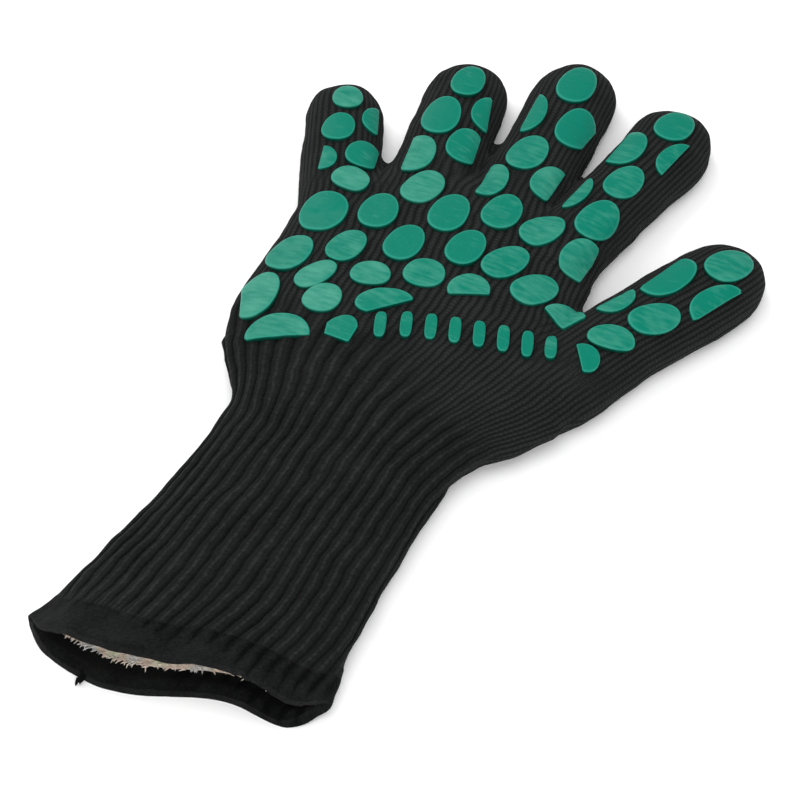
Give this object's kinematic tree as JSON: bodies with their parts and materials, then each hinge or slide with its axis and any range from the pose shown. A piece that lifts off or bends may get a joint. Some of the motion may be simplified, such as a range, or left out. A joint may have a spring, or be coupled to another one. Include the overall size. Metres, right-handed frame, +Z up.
{
  "type": "heat resistant glove",
  "caption": "Extra long knitted heat resistant glove, lying palm up, with raised silicone grip spots, fleece lining and an open ribbed cuff.",
  "frame": {"origin": "under the middle of the glove, on the table it lies on", "axes": "+Y from the cuff to the fingertips, +X towards the thumb, +Z up out of the palm"},
  "size_m": [0.1874, 0.3366, 0.0206],
  "materials": {
    "knit": "charcoal rib knit, matt",
    "binding": "black felted overlock band, matt",
    "fleece": "cream brushed cotton fleece",
    "silicone": "green printed silicone, satin"
  },
  "bodies": {
    "hand": {"hand_shell": "knit", "hand_lining": "fleece", "spot_heel_1": "silicone", "spot_heel_2": "silicone", "spot_heel_3": "silicone", "spot_palm_1": "silicone", "spot_palm_2": "silicone", "spot_palm_3": "silicone", "spot_palm_4": "silicone", "spot_palm_5": "silicone", "spot_palm_6": "silicone", "spot_palm_7": "silicone", "spot_palm_8": "silicone", "spot_palm_9": "silicone", "spot_palm_10": "silicone", "spot_palm_11": "silicone", "spot_palm_12": "silicone", "spot_palm_13": "silicone", "spot_palm_14": "silicone", "spot_palm_15": "silicone", "spot_palm_16": "silicone", "spot_palm_17": "silicone", "bar_1": "silicone", "bar_2": "silicone", "bar_3": "silicone", "bar_4": "silicone", "bar_5": "silicone", "bar_6": "silicone", "bar_7": "silicone", "bar_8": "silicone"},
    "cuff": {"cuff_shell": "knit", "cuff_lining": "fleece", "cuff_binding": "binding"},
    "knuckles": {"knuckles_shell": "knit", "knuckles_lining": "fleece"},
    "little_base": {"little_base_shell": "knit", "little_base_lining": "fleece"},
    "little_tip": {"little_tip_shell": "knit", "little_tip_lining": "fleece", "spot_little": "silicone"},
    "ring_base": {"ring_base_shell": "knit", "ring_base_lining": "fleece"},
    "ring_tip": {"ring_tip_shell": "knit", "ring_tip_lining": "fleece", "spot_ring": "silicone"},
    "middle_base": {"middle_base_shell": "knit", "middle_base_lining": "fleece"},
    "middle_tip": {"middle_tip_shell": "knit", "middle_tip_lining": "fleece", "spot_middle": "silicone"},
    "index_base": {"index_base_shell": "knit", "index_base_lining": "fleece"},
    "index_tip": {"index_tip_shell": "knit", "index_tip_lining": "fleece", "spot_index": "silicone"},
    "thumb_base": {"thumb_base_shell": "knit", "thumb_base_lining": "fleece"},
    "thumb_tip": {"thumb_tip_shell": "knit", "thumb_tip_lining": "fleece", "spot_thumb": "silicone"}
  },
  "joints": [
    {"name": "wrist_bend", "type": "hinge", "parent": "hand", "child": "cuff", "pos_m": [0.00443, -0.05106, 0.019], "axis": [-1, 0, 0], "range_deg": [-8, 60], "stiffness_Nm_per_rad": 0.05},
    {"name": "knuckle_bend", "type": "hinge", "parent": "hand", "child": "knuckles", "pos_m": [-0.00257, 0.08354, 0.0176], "axis": [1, 0, 0], "range_deg": [-6, 75], "stiffness_Nm_per_rad": 0.03},
    {"name": "little_root_bend", "type": "hinge", "parent": "hand", "child": "little_base", "pos_m": [-0.07198, 0.08324, 0.0176], "axis": [0.9063, 0.4226, 0], "range_deg": [-8, 85], "stiffness_Nm_per_rad": 0.01},
    {"name": "little_tip_bend", "type": "hinge", "parent": "little_base", "child": "little_tip", "pos_m": [-0.0798, 0.10001, 0.0176], "axis": [0.9063, 0.4226, 0], "range_deg": [-8, 60], "stiffness_Nm_per_rad": 0.01},
    {"name": "ring_root_bend", "type": "hinge", "parent": "knuckles", "child": "ring_base", "pos_m": [-0.04064, 0.11187, 0.0176], "axis": [0.9781, 0.2079, 0], "range_deg": [-8, 85], "stiffness_Nm_per_rad": 0.01},
    {"name": "ring_tip_bend", "type": "hinge", "parent": "ring_base", "child": "ring_tip", "pos_m": [-0.04418, 0.1285, 0.0176], "axis": [0.9781, 0.2079, 0], "range_deg": [-8, 60], "stiffness_Nm_per_rad": 0.01},
    {"name": "middle_root_bend", "type": "hinge", "parent": "knuckles", "child": "middle_base", "pos_m": [-0.0049, 0.11955, 0.0176], "axis": [0.9945, 0.1045, 0], "range_deg": [-8, 85], "stiffness_Nm_per_rad": 0.01},
    {"name": "middle_tip_bend", "type": "hinge", "parent": "middle_base", "child": "middle_tip", "pos_m": [-0.00733, 0.14172, 0.0176], "axis": [0.9945, 0.1045, 0], "range_deg": [-8, 60], "stiffness_Nm_per_rad": 0.01},
    {"name": "index_root_bend", "type": "hinge", "parent": "knuckles", "child": "index_base", "pos_m": [0.03254, 0.11965, 0.0176], "axis": [0.9903, -0.1392, 0], "range_deg": [-8, 85], "stiffness_Nm_per_rad": 0.01},
    {"name": "index_tip_bend", "type": "hinge", "parent": "index_base", "child": "index_tip", "pos_m": [0.03533, 0.13946, 0.0176], "axis": [0.9903, -0.1392, 0], "range_deg": [-8, 60], "stiffness_Nm_per_rad": 0.01},
    {"name": "thumb_root_bend", "type": "hinge", "parent": "hand", "child": "thumb_base", "pos_m": [0.06141, 0.04168, 0.0176], "axis": [0.9063, -0.4226, 0], "range_deg": [-8, 50], "stiffness_Nm_per_rad": 0.01},
    {"name": "thumb_tip_bend", "type": "hinge", "parent": "thumb_base", "child": "thumb_tip", "pos_m": [0.07019, 0.06076, 0.0176], "axis": [0.9063, -0.4226, 0], "range_deg": [-8, 60], "stiffness_Nm_per_rad": 0.01}
  ]
}
